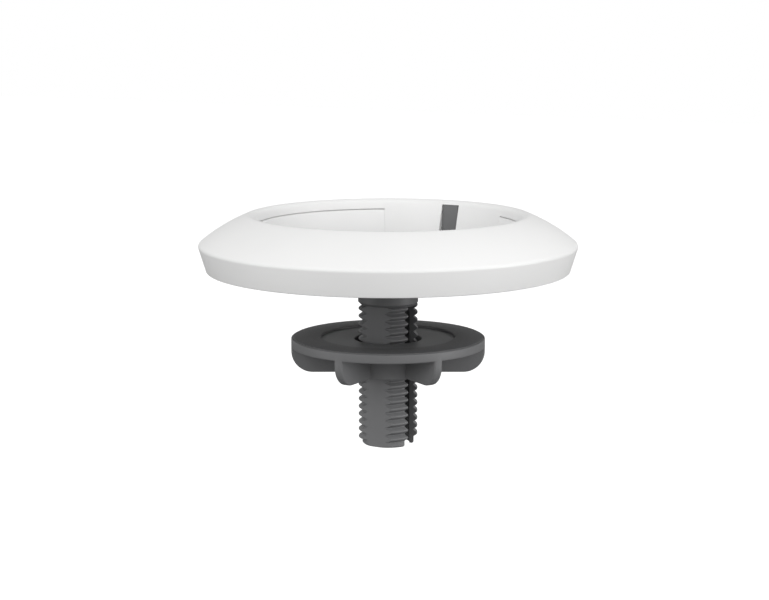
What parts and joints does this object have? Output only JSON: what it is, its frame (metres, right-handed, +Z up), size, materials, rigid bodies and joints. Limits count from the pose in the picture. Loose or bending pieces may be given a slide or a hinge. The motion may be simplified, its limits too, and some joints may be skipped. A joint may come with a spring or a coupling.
{
  "type": "through-table device mount",
  "caption": "Round mounting ring with a tapered well for a puck-shaped desk device, on a hollow slotted threaded stem with a winged clamp nut under the table.",
  "frame": {"origin": "where the stem's axis meets the plane of the table's top face, on which the gasket rests", "axes": "+Z up along the stem's axis, out of the well; +Y towards the cable window in the well wall; +X towards the slot in the stem"},
  "size_m": [0.1404, 0.1404, 0.0868],
  "materials": {
    "white_plastic": "fine satin moulded plastic, white",
    "white_soft": "smooth soft-touch elastomer, white",
    "grey_plastic": "fine matt moulded glass-filled plastic, dark grey",
    "gasket_rubber": "matt solid rubber, black",
    "pad_rubber": "matt rubber, dark grey",
    "screw_steel": "zinc-plated steel"
  },
  "bodies": {
    "ring": {"trim_ring": "white_plastic", "grip_sleeve": "white_soft", "base_pan": "grey_plastic", "table_gasket": "gasket_rubber", "floor_pad": "pad_rubber", "threaded_stem": "grey_plastic", "trim_screws": "screw_steel", "stem_screws": "screw_steel"},
    "pad": {"clamp_pad": "pad_rubber"},
    "nut": {"wing_nut": "grey_plastic"}
  },
  "joints": [
    {"name": "nut_travel", "type": "slide", "parent": "ring", "child": "pad", "axis": [0, 0, 1], "range_m": [-0.02583, 0.01794]},
    {"name": "nut_turn", "type": "hinge", "parent": "pad", "child": "nut", "pos_m": [0, 0, -0.0249], "axis": [0, 0, 1], "range_deg": [-3240.1, 2250.1]}
  ],
  "couplings": [
    {"joint": "nut_turn", "follows": "nut_travel", "rad_per_m": 2189.3}
  ]
}
